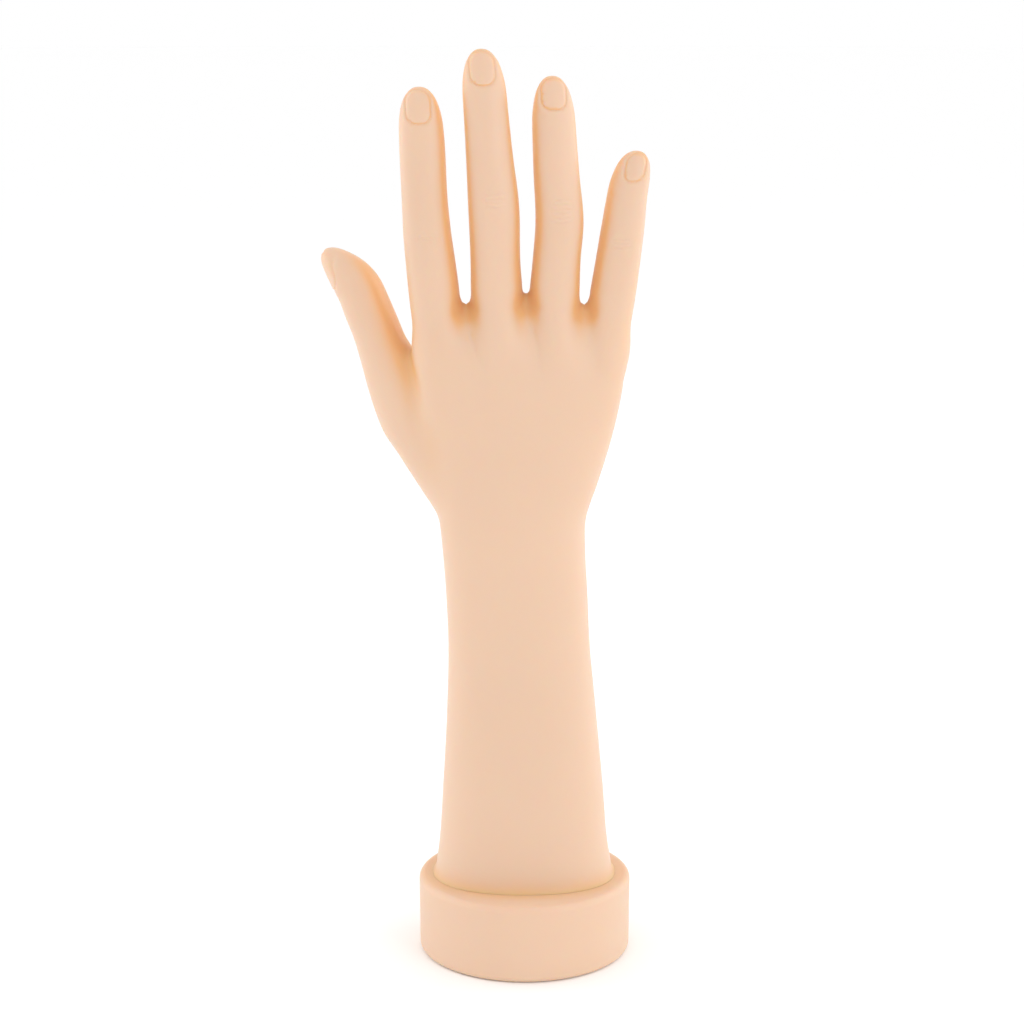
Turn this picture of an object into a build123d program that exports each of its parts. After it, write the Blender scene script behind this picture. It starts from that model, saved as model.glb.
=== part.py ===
from build123d import *
import os
from math import copysign, cos, pi, sin
from typing import NamedTuple

# Life-size right hand and forearm of soft vinyl that stands upright on a round weighted base.
# Millimetres, +Z up. The origin is the middle of the base's foot on the floor. The back of the hand
# faces -Y and the thumb is on the -X side.
#
# Bodies: base (root), swivel (the bush that turns in the base) and arm (everything that lifts off the bush).


class Station(NamedTuple):
    """One level outline of a limb: its height, its centre and its half sizes along X and Y."""

    z: float
    x: float
    y: float
    half_width: float
    half_depth: float


# --- levels ---------------------------------------------------------------------------------------
PAD_THICKNESS = 1.5
PLATE_THICKNESS = 2.5
PLATE_TOP = PAD_THICKNESS + PLATE_THICKNESS
DECK_TOP = 27.0  # top face of the base
FLANGE_TOP = 27.2  # top face of the bush, which the arm rests on
FOOT_Z = 27.3  # lower edge of the vinyl
WRIST_Z = 132.0  # where the forearm piece ends and the palm piece begins
PALM_TOP = 226.0  # level of the webs, where the finger pieces begin
HAND_TOP = 310.0

# --- base -----------------------------------------------------------------------------------------
BASE_RADIUS_TOP = 36.9
BASE_RADIUS_FOOT = 36.7
BASE_FOOT_Z = 0.1
BASE_RIM_ROUND = 2.2
BASE_FOOT_ROUND = 1.9
SHELL_INNER_RADIUS = 33.2
DECK_THICKNESS = 4.0
DECK_UNDERSIDE = DECK_TOP - DECK_THICKNESS
PLATE_RADIUS = 34.2
PLATE_CLEARANCE = 0.2
PAD_RADIUS = 33.0

BALLAST_OUTER_RADIUS = 32.6
BALLAST_INNER_RADIUS = 15.0
BALLAST_THICKNESS = 12.0

BOSS_COUNT = 3
BOSS_PITCH_RADIUS = 24.5
BOSS_RADIUS = 4.0
BOSS_CLEARANCE = 0.4
BASE_SCREW_RADIUS = 1.5
BASE_SCREW_HEAD_RADIUS = 3.0
BASE_SCREW_HEAD_HEIGHT = 1.5
BASE_SCREW_LENGTH = 11.0
DRIVE_RADIUS = 0.9
DRIVE_DEPTH = 0.9

# --- swivel ---------------------------------------------------------------------------------------
RUNNING_CLEARANCE = 0.05
FLANGE_RADIUS = 17.0
FLANGE_THICKNESS = 2.2
FLANGE_SIDE_GAP = 0.5
SLEEVE_RADIUS = 9.0
SLEEVE_END_Z = 6.3
BEARING_END_Z = 9.5
BEARING_OUTER_RADIUS = 13.0
CLIP_Z = 8.15
CLIP_THICKNESS = 0.9
CLIP_INNER_RADIUS = 8.0
CLIP_OUTER_RADIUS = 11.5
CLIP_GAP = 4.0
GROOVE_SIDE_GAP = 0.05

# --- arm fittings ---------------------------------------------------------------------------------
SPIGOT_ACROSS_FLATS = 10.0
SPIGOT_END_Z = 7.0
SPIGOT_KEY_DEPTH = 3.0  # how far the spigot is let into the plug
SPIGOT_TIP_CHAMFER = 1.0
PLUG_BOSS_RADIUS = 16.0
PLUG_Z = FLANGE_TOP + 2.3
PLUG_THICKNESS = 6.0
PLUG_TOP = PLUG_Z + PLUG_THICKNESS
PLUG_GROOVE = 1.2  # how far the plug's rim reaches into the vinyl
CENTRE_SCREW_RADIUS = 2.5
CENTRE_SCREW_LENGTH = 14.0
CENTRE_SCREW_HEAD_RADIUS = 4.5
CENTRE_SCREW_HEAD_HEIGHT = 2.8
CENTRE_SCREW_SOCKET = 4.0  # across flats
CENTRE_SCREW_SOCKET_DEPTH = 1.8
WASHER_RADIUS = 7.5
WASHER_THICKNESS = 1.2

# --- vinyl ----------------------------------------------------------------------------------------
WALL = 3.0
FINGER_WALL = 3.2
LIP = 2.6  # how far the vinyl's lower lip reaches under the plug
OUTLINE_POINTS = 16
STEPS_PER_SPAN = 2

FOREARM_STATIONS = [
    Station(FOOT_Z, -0.2, 0.0, 31.0, 23.2),
    Station(37.0, -0.4, 0.0, 29.5, 22.3),
    Station(60.0, -0.5, 0.0, 27.8, 21.2),
    Station(88.0, -1.1, 0.0, 25.6, 19.6),
    Station(112.0, -1.9, 0.0, 24.3, 18.0),
    Station(WRIST_Z, -2.8, 0.0, 24.2, 16.8),
    Station(150.0, -4.2, 0.2, 24.8, 16.0),
    Station(166.0, -3.3, 0.6, 27.8, 15.6),
    Station(180.0, -2.3, 1.0, 31.2, 15.2),
    Station(194.0, -1.7, 1.2, 33.8, 14.8),
    Station(208.0, -1.4, 1.2, 35.5, 14.0),
    Station(219.0, -1.3, 1.0, 36.4, 12.8),
    Station(PALM_TOP, -1.0, 0.8, 37.2, 11.2),
]
FLARE_STATIONS = [
    Station(FOOT_Z, -0.2, 0.0, 32.5, 24.7),
    Station(28.1, -0.2, 0.0, 31.7, 23.9),
    Station(29.4, -0.2, 0.0, 30.9, 23.2),
    Station(31.6, -0.3, 0.0, 30.1, 22.6),
]
THUMB_STATIONS = [
    Station(150.0, -20.0, 5.0, 8.0, 9.0),
    Station(166.0, -24.5, 7.0, 11.6, 12.5),
    Station(180.0, -32.5, 9.5, 12.6, 13.0),
    Station(194.0, -40.3, 11.5, 11.8, 11.6),
    Station(207.0, -45.6, 13.0, 9.2, 9.4),
    Station(220.0, -50.4, 14.0, 8.8, 8.2),
    Station(233.0, -56.0, 14.8, 8.7, 7.4),
    Station(239.0, -59.6, 15.1, 7.8, 6.4),
    Station(242.5, -62.2, 15.3, 5.7, 4.6),
    Station(244.5, -63.6, 15.4, 2.8, 2.4),
]
INDEX_STATIONS = [
    Station(PALM_TOP, -29.7, 0.4, 8.5, 9.2),
    Station(241.0, -31.5, 0.4, 8.3, 8.2),
    Station(261.0, -33.3, 1.2, 7.7, 7.4),
    Station(280.0, -34.2, 4.0, 7.5, 6.6),
    Station(289.0, -34.5, 5.8, 6.8, 5.6),
    Station(295.0, -34.8, 6.9, 4.8, 4.0),
    Station(298.0, -34.9, 7.4, 2.0, 1.8),
]
MIDDLE_STATIONS = [
    Station(PALM_TOP, -9.4, 0.0, 8.8, 9.4),
    Station(241.0, -9.9, -0.2, 8.3, 8.6),
    Station(263.0, -10.8, 0.4, 8.2, 7.8),
    Station(281.0, -12.2, 2.8, 7.6, 7.0),
    Station(297.0, -13.6, 6.2, 7.0, 5.9),
    Station(304.0, -14.0, 7.6, 5.9, 4.7),
    Station(307.5, -14.0, 8.4, 4.3, 3.4),
    Station(HAND_TOP, -14.0, 8.9, 1.7, 1.5),
]
RING_STATIONS = [
    Station(PALM_TOP, 9.8, 0.2, 8.7, 9.2),
    Station(241.0, 10.4, 0.2, 8.0, 8.3),
    Station(256.0, 11.2, 0.8, 8.0, 7.5),
    Station(274.0, 10.2, 3.4, 7.5, 6.8),
    Station(288.0, 9.4, 6.3, 7.0, 5.8),
    Station(295.0, 9.1, 7.7, 5.9, 4.7),
    Station(298.7, 9.1, 8.4, 4.2, 3.4),
    Station(301.0, 9.2, 8.8, 1.7, 1.5),
]
LITTLE_STATIONS = [
    Station(PALM_TOP, 28.3, 1.2, 7.9, 8.2),
    Station(241.0, 30.9, 1.8, 7.5, 7.3),
    Station(255.0, 32.8, 3.6, 7.2, 6.5),
    Station(266.0, 34.5, 5.8, 6.4, 5.6),
    Station(271.5, 35.4, 6.9, 5.3, 4.4),
    Station(274.8, 35.9, 7.6, 3.9, 3.3),
    Station(276.8, 36.1, 8.0, 1.7, 1.5),
]
FOOT_STATIONS = FOREARM_STATIONS[:3]
THUMB_CAVITY_STATIONS = THUMB_STATIONS[1:-3]  # the cavity stops short of the root and of the tip
FINGERS = {
    "index_finger": INDEX_STATIONS,
    "middle_finger": MIDDLE_STATIONS,
    "ring_finger": RING_STATIONS,
    "little_finger": LITTLE_STATIONS,
}
ROUND = 2.0  # exponent of a plain ellipse
BOXY = 2.5  # exponent of the palm's fuller outline
BOXY_FROM, BOXY_TO = WRIST_Z, 194.0  # the outline grows fuller between these levels
FINGER_CAVITY_STATIONS = 4  # the cavity stops this many stations up, short of the tip
CAVITY_OVERLAP = 9.0  # how far the finger cavities run down into the palm's
ABOVE = 400.0  # beyond everything, for cutting tools
STANDING = (Align.CENTER, Align.CENTER, Align.MIN)  # centred on the axis, standing on the level


# --- helpers --------------------------------------------------------------------------------------
def cylinder(radius, bottom, top, x=0.0, y=0.0):
    """An upright cylinder between two levels."""
    return Pos(x, y, bottom) * Cylinder(radius, top - bottom, align=STANDING)


def slab(bottom, top):
    """Everything between two levels."""
    return Pos(0, 0, bottom) * Box(ABOVE, ABOVE, top - bottom, align=STANDING)


def hexagon(across_flats, bottom, top):
    """An upright six-sided bar between two levels."""
    section = Pos(0, 0, bottom) * RegularPolygon(across_flats / 2, 6, major_radius=False)
    return extrude(section, top - bottom)


def fullness(z):
    """The exponent of the outline at a level: an ellipse at the wrist, fuller across the palm."""
    share = min(max((z - BOXY_FROM) / (BOXY_TO - BOXY_FROM), 0.0), 1.0)
    return ROUND + (BOXY - ROUND) * share


def outline(station, inset, exponent):
    """The face of one station, drawn in by the inset all round."""
    half_width = station.half_width - inset
    half_depth = station.half_depth - inset
    points = []
    for k in range(OUTLINE_POINTS):
        angle = 2 * pi * k / OUTLINE_POINTS
        c, s = cos(angle), sin(angle)
        points.append(
            (
                station.x + half_width * copysign(abs(c) ** (2 / exponent), c),
                station.y + half_depth * copysign(abs(s) ** (2 / exponent), s),
                station.z,
            )
        )
    return Face(Wire(Edge.make_spline([Vector(*p) for p in points], periodic=True)))


def between(before, start, end, after, share):
    """The station at a share of the way from start to end, on a smooth curve through all four."""
    values = []
    for a, b, c, d in zip(before, start, end, after):
        bend = 2 * a - 5 * b + 4 * c - d + (3 * b - 3 * c + d - a) * share
        values.append(b + 0.5 * share * (c - a + bend * share))
    return Station(*values)


def smoothed(stations):
    """The stations with more of them in between."""
    padded = [stations[0]] + stations + [stations[-1]]
    dense = []
    for before, start, end, after in zip(padded, padded[1:], padded[2:], padded[3:]):
        shares = [k / STEPS_PER_SPAN for k in range(STEPS_PER_SPAN)]
        dense += [between(before, start, end, after, share) for share in shares]
    return dense + [stations[-1]]


def limb(stations, inset=0.0, exponent_at=lambda z: ROUND):
    """A smooth solid through the stations."""
    outlines = [outline(s, inset, exponent_at(s.z)).outer_wire() for s in smoothed(stations)]
    return Part() + Solid.make_loft(outlines)


def at_boss_angles():
    """The plan position of each screw boss of the base."""
    for k in range(BOSS_COUNT):
        angle = pi / 2 + 2 * pi * k / BOSS_COUNT
        yield BOSS_PITCH_RADIUS * cos(angle), BOSS_PITCH_RADIUS * sin(angle)


# --- base -----------------------------------------------------------------------------------------
def base_shell():
    """The round cup with its deck, the bearing tube for the bush and the screw bosses."""
    counterbore_radius = FLANGE_RADIUS + FLANGE_SIDE_GAP
    counterbore_floor = FLANGE_TOP - FLANGE_THICKNESS - RUNNING_CLEARANCE
    bore_radius = SLEEVE_RADIUS + RUNNING_CLEARANCE
    profile = Polyline(
        (BASE_RADIUS_FOOT, 0, BASE_FOOT_Z),
        (BASE_RADIUS_TOP, 0, DECK_TOP),
        (counterbore_radius, 0, DECK_TOP),
        (counterbore_radius, 0, counterbore_floor),
        (bore_radius, 0, counterbore_floor),
        (bore_radius, 0, BEARING_END_Z),
        (BEARING_OUTER_RADIUS, 0, BEARING_END_Z),
        (BEARING_OUTER_RADIUS, 0, DECK_UNDERSIDE),
        (SHELL_INNER_RADIUS, 0, DECK_UNDERSIDE),
        (SHELL_INNER_RADIUS, 0, PLATE_TOP),
        (PLATE_RADIUS + PLATE_CLEARANCE, 0, PLATE_TOP),
        (PLATE_RADIUS + PLATE_CLEARANCE, 0, BASE_FOOT_Z),
        close=True,
    )
    shell = revolve(make_face(profile), Axis.Z)
    circles = shell.edges().filter_by(GeomType.CIRCLE)
    rim = circles.filter_by(lambda e: abs(e.radius - BASE_RADIUS_TOP) < 0.01)
    shell = fillet(rim, BASE_RIM_ROUND)
    circles = shell.edges().filter_by(GeomType.CIRCLE)
    foot = circles.filter_by(lambda e: abs(e.radius - BASE_RADIUS_FOOT) < 0.01)
    shell = fillet(foot, BASE_FOOT_ROUND)
    for x, y in at_boss_angles():
        shell += cylinder(BOSS_RADIUS, PLATE_TOP, DECK_UNDERSIDE, x, y)
        shell -= cylinder(BASE_SCREW_RADIUS, PLATE_TOP, PAD_THICKNESS + BASE_SCREW_LENGTH, x, y)
    return shell


def ballast_ring():
    """The flat steel ring on the base plate, with clearance for the screw bosses."""
    top = PLATE_TOP + BALLAST_THICKNESS
    ring = cylinder(BALLAST_OUTER_RADIUS, PLATE_TOP, top)
    ring -= cylinder(BALLAST_INNER_RADIUS, PLATE_TOP, top)
    for x, y in at_boss_angles():
        ring -= cylinder(BOSS_RADIUS + BOSS_CLEARANCE, PLATE_TOP, top, x, y)
    return ring


def countersink(x, y):
    """The cone of a base screw's head, from the plate's lower face up."""
    cone = Cone(BASE_SCREW_HEAD_RADIUS, BASE_SCREW_RADIUS, BASE_SCREW_HEAD_HEIGHT, align=STANDING)
    return Pos(x, y, PAD_THICKNESS) * cone


def base_plate():
    """The disc that closes the shell from below."""
    plate = cylinder(PLATE_RADIUS, PAD_THICKNESS, PLATE_TOP)
    for x, y in at_boss_angles():
        plate -= cylinder(BASE_SCREW_RADIUS, PAD_THICKNESS, PLATE_TOP, x, y)
        plate -= countersink(x, y)
    return plate


def base_screws():
    """The countersunk screws that hold the plate."""
    screws = []
    for x, y in at_boss_angles():
        screw = countersink(x, y) + cylinder(
            BASE_SCREW_RADIUS, PAD_THICKNESS, PAD_THICKNESS + BASE_SCREW_LENGTH, x, y
        )
        screws.append(screw - cylinder(DRIVE_RADIUS, PAD_THICKNESS, PAD_THICKNESS + DRIVE_DEPTH, x, y))
    return Compound(children=screws)


def foot_pad():
    """The soft disc under the base, which hides the screws."""
    return cylinder(PAD_RADIUS, 0, PAD_THICKNESS)


# --- swivel ---------------------------------------------------------------------------------------
def swivel_bush():
    """The flanged bush that turns in the base and takes the arm's spigot in its six-sided socket."""
    bush = cylinder(FLANGE_RADIUS, FLANGE_TOP - FLANGE_THICKNESS, FLANGE_TOP)
    bush += cylinder(SLEEVE_RADIUS, SLEEVE_END_Z, FLANGE_TOP)
    bush -= hexagon(SPIGOT_ACROSS_FLATS + 2 * RUNNING_CLEARANCE, SLEEVE_END_Z, FLANGE_TOP)
    groove_bottom, groove_top = CLIP_Z - GROOVE_SIDE_GAP, CLIP_Z + CLIP_THICKNESS + GROOVE_SIDE_GAP
    groove = cylinder(BEARING_OUTER_RADIUS, groove_bottom, groove_top)
    return bush - (groove - cylinder(CLIP_INNER_RADIUS, groove_bottom, groove_top))


def retaining_clip():
    """The split ring under the bearing tube that keeps the bush in the base."""
    top = CLIP_Z + CLIP_THICKNESS
    clip = cylinder(CLIP_OUTER_RADIUS, CLIP_Z, top) - cylinder(CLIP_INNER_RADIUS, CLIP_Z, top)
    slot_corner = (Align.MIN, Align.CENTER, Align.MIN)
    slot = Pos(0, 0, CLIP_Z) * Box(CLIP_OUTER_RADIUS, CLIP_GAP, CLIP_THICKNESS, align=slot_corner)
    return clip - slot


# --- arm fittings ---------------------------------------------------------------------------------
def spigot():
    """The six-sided bar under the arm, tapped from above."""
    top = FLANGE_TOP + SPIGOT_KEY_DEPTH
    bar = hexagon(SPIGOT_ACROSS_FLATS, SPIGOT_END_Z, top)
    bar = chamfer(bar.faces().sort_by(Axis.Z)[0].edges(), SPIGOT_TIP_CHAMFER)
    return bar - cylinder(CENTRE_SCREW_RADIUS, centre_screw_seat() - CENTRE_SCREW_LENGTH, top)


def centre_screw_seat():
    """The level the centre screw's head sits on."""
    return PLUG_TOP + WASHER_THICKNESS


def plug_rim():
    """The plug's oval body, which sits in a groove of the vinyl."""
    return limb(FOOT_STATIONS, WALL - PLUG_GROOVE) & slab(PLUG_Z, PLUG_TOP)


def foot_plug():
    """The stiff plug in the vinyl's lower end, with the round boss that rests on the bush."""
    plug = plug_rim() + cylinder(PLUG_BOSS_RADIUS, FLANGE_TOP, PLUG_Z)
    plug -= hexagon(SPIGOT_ACROSS_FLATS, FLANGE_TOP, FLANGE_TOP + SPIGOT_KEY_DEPTH)
    return plug - cylinder(CENTRE_SCREW_RADIUS, FLANGE_TOP, PLUG_TOP)


def spigot_washer():
    """The flat washer on the plug."""
    top = centre_screw_seat()
    return cylinder(WASHER_RADIUS, PLUG_TOP, top) - cylinder(CENTRE_SCREW_RADIUS, PLUG_TOP, top)


def spigot_screw():
    """The pan-head screw that draws the spigot against the plug."""
    seat = centre_screw_seat()
    head_top = seat + CENTRE_SCREW_HEAD_HEIGHT
    screw = cylinder(CENTRE_SCREW_RADIUS, seat - CENTRE_SCREW_LENGTH, seat)
    screw += cylinder(CENTRE_SCREW_HEAD_RADIUS, seat, head_top)
    return screw - hexagon(CENTRE_SCREW_SOCKET, head_top - CENTRE_SCREW_SOCKET_DEPTH, head_top)


# --- vinyl ----------------------------------------------------------------------------------------
def finger(stations):
    """One finger with its cavity, and the cavity itself, which runs down into the palm's."""
    first = stations[0]
    root = Station(first.z - CAVITY_OVERLAP, first.x, first.y, first.half_width, first.half_depth)
    cavity = limb([root] + stations[:FINGER_CAVITY_STATIONS], FINGER_WALL)
    return limb(stations) - cavity, cavity


def vinyl_pieces():
    """The one hollow vinyl moulding, cut at the wrist, the webs and the thumb's root into simple pieces."""
    outer = limb(FOREARM_STATIONS, 0.0, fullness) + limb(FLARE_STATIONS)
    inner = limb(FOREARM_STATIONS[:-1], WALL, fullness)
    thumb_cavity = limb(THUMB_CAVITY_STATIONS, FINGER_WALL)
    pieces = {"thumb": limb(THUMB_STATIONS) - outer - thumb_cavity}
    forearm = (outer & slab(FOOT_Z, WRIST_Z)) - (inner & slab(PLUG_TOP, WRIST_Z))
    lip_opening = limb(FOOT_STATIONS, WALL + LIP) & slab(FOOT_Z, PLUG_Z)
    pieces["forearm"] = forearm - lip_opening - plug_rim()
    palm = (outer & slab(WRIST_Z, PALM_TOP)) - inner - thumb_cavity
    for name, stations in FINGERS.items():
        pieces[name], cavity = finger(stations)
        palm -= cavity
    pieces["palm"] = palm
    return {f"{name}_skin": piece for name, piece in pieces.items()}


def all_parts():
    """Every node by name."""
    parts = {
        "base_shell": base_shell(),
        "ballast_ring": ballast_ring(),
        "base_plate": base_plate(),
        "base_screws": base_screws(),
        "foot_pad": foot_pad(),
        "swivel_bush": swivel_bush(),
        "retaining_clip": retaining_clip(),
        "spigot": spigot(),
        "foot_plug": foot_plug(),
        "spigot_washer": spigot_washer(),
        "spigot_screw": spigot_screw(),
    }
    parts.update(vinyl_pieces())
    return parts


os.makedirs("parts", exist_ok=True)
for node, shape in all_parts().items():
    export_step(shape, f"parts/{node}.step")
    box = shape.bounding_box()
    span = f"z {box.min.Z:.2f} to {box.max.Z:.2f}"
    print(f"{node}: {len(shape.solids())} solid(s), {shape.volume:.0f} mm3, {span}")
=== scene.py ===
"""A life-size display hand of soft vinyl on a round weighted base.

The hand and forearm are one unbroken vinyl skin. Its form is a smooth union of tapered limbs with fine relief
for the nails, knuckles and creases. The stand and the fittings keep their engineering shapes and get their
finishes here. The form of the hand and its skin are worked out in millimetres; everything else is in metres.
"""

import logging
from dataclasses import dataclass, field
from enum import Enum
from math import radians

import bmesh
import bpy
import numpy as np
from mathutils import Euler, Matrix, Vector


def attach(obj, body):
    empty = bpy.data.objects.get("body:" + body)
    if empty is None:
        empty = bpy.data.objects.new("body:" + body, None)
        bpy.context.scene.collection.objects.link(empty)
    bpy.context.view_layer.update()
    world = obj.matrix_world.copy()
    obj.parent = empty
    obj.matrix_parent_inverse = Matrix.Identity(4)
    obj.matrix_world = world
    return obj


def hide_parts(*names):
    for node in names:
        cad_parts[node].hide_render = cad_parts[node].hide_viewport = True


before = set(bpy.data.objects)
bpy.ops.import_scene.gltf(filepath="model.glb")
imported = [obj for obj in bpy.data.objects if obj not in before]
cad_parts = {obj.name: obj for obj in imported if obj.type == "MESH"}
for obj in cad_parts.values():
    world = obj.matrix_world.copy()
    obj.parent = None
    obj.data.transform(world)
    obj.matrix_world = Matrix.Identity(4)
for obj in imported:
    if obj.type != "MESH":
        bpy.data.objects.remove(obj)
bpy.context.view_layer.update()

MM = 0.001
ARM_BODY = "arm"

BEYOND_SECTIONS = 12.0  # how far a limb's lines run on past its last section
TIP_RINGS = (0.3, 0.6, 0.85, 0.97)  # where a rough tube has rings, as shares of its tip
FLARE_RINGS = (0.25, 0.45, 0.6, 0.72, 0.82, 0.9, 0.96, 1.0)  # and as shares of the flare at the arm's foot
HOLLOW_REACHES = (2.5, 7.0, 16.0, 30.0)  # how far off each place looks for skin that stands over it
BROAD_RELIEF = 1.6  # relief wider than this needs no finer mesh
FINE_SHARE = 0.04  # finer relief needs one where it has more than this share of its depth
CUTICLE_CORNER, TIP_CORNER = 0.4, 0.47  # corner radii of a nail, as shares of its width
NAIL_FOLD = 1.3  # how far outside a nail the skin round it is highest
TIP_REACH = 11.0  # no nail is farther than this from the middle of its limb
FELT_STEP = 0.04  # the distance over which the surface's direction is felt
LONGEST_MOVE = 1.5  # the farthest that a vertex moves in one round
TINY = 1e-9  # keeps a division from dividing by nothing

SKIN_DEPTHS = (1.0, 0.4, 0.16)  # how far red, green and blue light spread in the vinyl, next to each other
MIX_FIRST, MIX_SECOND, MIX_RESULT = 6, 7, 2  # the colour sockets of a mix node

Colour = tuple[float, float, float]

logging.basicConfig(level=logging.INFO, format="%(name)s: %(message)s")
log = logging.getLogger("display_hand")


class Side(Enum):
    """The side of the hand that a relief lies on, as the sign of Y there."""

    BACK = -1.0
    PALM = 1.0


# --- form of the hand ---


@dataclass(frozen=True)
class Section:
    """One cross-section of a limb, in the limb's own axes.

    The first three values place its centre: along the limb, sideways, and from back to palm. The last two are
    its depths from there to the back and to the palm.
    """

    along: float
    across: float
    through: float
    half_width: float
    back: float
    palm: float


@dataclass
class Limb:
    """A tapered limb with rounded ends, through its sections."""

    name: str
    sections: list[Section]
    tip_from: float
    tip_length: float
    root_from: float = -1000.0  # below this the root rounds off; far below for a limb that runs on
    root_length: float = 10.0
    origin: tuple[float, float, float] = (0.0, 0.0, 0.0)
    lean: float = 0.0  # degrees about the frame's Y axis
    pitch: float = 0.0  # degrees about its X axis
    fullness: float = 2.15  # 2 for an oval section, more for a squarer one
    tip_fullness: float = 2.3
    blend: float = 5.0  # how widely it melts into the rest

    def axes(self) -> np.ndarray:
        """The limb's across, through and along directions, as rows."""
        turn = Euler((radians(self.pitch), radians(self.lean), 0.0)).to_matrix()
        return np.array(turn.transposed())

    def local(self, points: np.ndarray) -> np.ndarray:
        """The points in the limb's own axes."""
        return (points - np.array(self.origin)) @ self.axes().T

    def at(self, along: np.ndarray, value: str) -> np.ndarray:
        """One value of the sections at each distance along the limb.

        Args:
            along: distances along the limb's axis.
            value: name of a field of Section.

        Returns:
            The value there, on a smooth curve through the sections that runs straight on past them.
        """
        knots = np.array([s.along for s in self.sections])
        values = np.array([getattr(s, value) for s in self.sections])
        slopes = np.gradient(values, knots)
        span = np.clip(np.searchsorted(knots, along) - 1, 0, len(knots) - 2)
        width = (knots[1:] - knots[:-1])[span]
        share = (along - knots[span]) / width
        inside = np.clip(share, 0.0, 1.0)
        cubed, squared = inside**3, inside**2
        curve = (2 * cubed - 3 * squared + 1) * values[span] + (3 * squared - 2 * cubed) * values[span + 1]
        rise = (cubed - 2 * squared + inside) * slopes[span] + (cubed - squared) * slopes[span + 1]
        curve += rise * width
        beyond = np.clip((share - inside) * width, -BEYOND_SECTIONS, BEYOND_SECTIONS)
        return curve + beyond * np.where(share > 1, slopes[-1], slopes[0])

    def distance(self, points: np.ndarray) -> np.ndarray:
        """Roughly how far each point is outside the limb; negative inside."""
        across, through, along = self.local(points).T
        half_width = self.at(along, "half_width")
        offset = through - self.at(along, "through")
        depth = np.where(offset < 0, self.at(along, "back"), self.at(along, "palm"))
        side = np.abs(across - self.at(along, "across")) / half_width
        front = np.abs(offset) / depth
        n, m = self.fullness, self.tip_fullness
        ring = (side**n + front**n) ** (1 / n) + TINY
        tip = np.clip((along - self.tip_from) / self.tip_length, 0, None)
        root = np.clip((self.root_from - along) / self.root_length, 0, None)
        whole = (ring**m + tip**m + root**m) ** (1 / m)
        steep = (ring / whole) ** (m - 1)
        slope_across = steep * (side / ring) ** (n - 1) / half_width
        slope_through = steep * (front / ring) ** (n - 1) / depth
        slope_along = (tip / whole) ** (m - 1) / self.tip_length
        slope_along += (root / whole) ** (m - 1) / self.root_length
        return (whole - 1) / np.sqrt(slope_across**2 + slope_through**2 + slope_along**2)

    def rough(self, segments: int = 24) -> bmesh.types.BMesh:
        """A plain closed tube through the sections, capped at both ends."""
        tube = bmesh.new()
        turn = Matrix(self.axes().T.tolist()).to_4x4()
        place = Matrix.Translation(self.origin) @ turn
        ends = [s for s in self.sections if s.along < self.tip_from]
        low = max(self.root_from, ends[0].along)
        stops = [low, *(s.along for s in ends if s.along > low + 1)]
        rings = [(stop, 1.0) for stop in stops]
        rings += [(self.tip_from + self.tip_length * t, (1 - t**2) ** 0.5) for t in TIP_RINGS]
        bmesh.ops.create_circle(tube, cap_ends=True, segments=segments, radius=1.0)
        edges = list(tube.edges)
        before = Matrix.Identity(4)
        for number, (along, share) in enumerate(rings):
            after = place @ self.ring_matrix(along, share)
            if number:
                made = bmesh.ops.extrude_edge_only(tube, edges=edges)["geom"]
                edges = [g for g in made if isinstance(g, bmesh.types.BMEdge) and len(g.link_faces) == 1]
            verts = {v for e in edges for v in e.verts}
            bmesh.ops.transform(tube, matrix=after @ before.inverted(), verts=list(verts))
            before = after
        bmesh.ops.holes_fill(tube, edges=edges)
        bmesh.ops.recalc_face_normals(tube, faces=tube.faces)
        return tube

    def ring_matrix(self, along: float, share: float) -> Matrix:
        """The placement that turns a unit circle into one of the limb's rings.

        Args:
            along: the ring's distance along the limb.
            share: its size as a share of the section there.

        Returns:
            The placement, in the limb's own axes.
        """
        at = np.array([along])
        back, palm = self.at(at, "back")[0], self.at(at, "palm")[0]
        centre = Vector((self.at(at, "across")[0], self.at(at, "through")[0] + (palm - back) / 2, along))
        scale = Matrix.Diagonal((self.at(at, "half_width")[0] * share, (back + palm) / 2 * share, 1.0, 1.0))
        return Matrix.Translation(centre) @ scale


@dataclass(frozen=True)
class Mass:
    """A rounded muscle mass: an ellipsoid that melts into the limbs."""

    centre: tuple[float, float, float]
    radii: tuple[float, float, float]
    blend: float = 8.0
    lean: float = 0.0

    def distance(self, points: np.ndarray) -> np.ndarray:
        """Roughly how far each point is outside the ellipsoid."""
        turn = np.array(Euler((0.0, radians(self.lean), 0.0)).to_matrix())
        scaled = ((points - np.array(self.centre)) @ turn) / np.array(self.radii)
        length = np.linalg.norm(scaled, axis=1) + TINY
        steep = np.linalg.norm(scaled / np.array(self.radii), axis=1) / length
        return (length - 1) / steep


def melted(first: np.ndarray, second: np.ndarray, blend: float) -> np.ndarray:
    """Two forms that melt into each other.

    Args:
        first: how far each point is outside the first form.
        second: how far each point is outside the second.
        blend: the width over which they melt.

    Returns:
        How far each point is outside the two together.
    """
    overlap = np.maximum(blend - np.abs(first - second), 0) / blend
    return np.minimum(first, second) - overlap**2 * blend / 4


def smooth_step(value: np.ndarray) -> np.ndarray:
    """0 below 0, 1 above 1 and a smooth rise between."""
    share = np.clip(value, 0.0, 1.0)
    return share * share * (3 - 2 * share)


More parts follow.
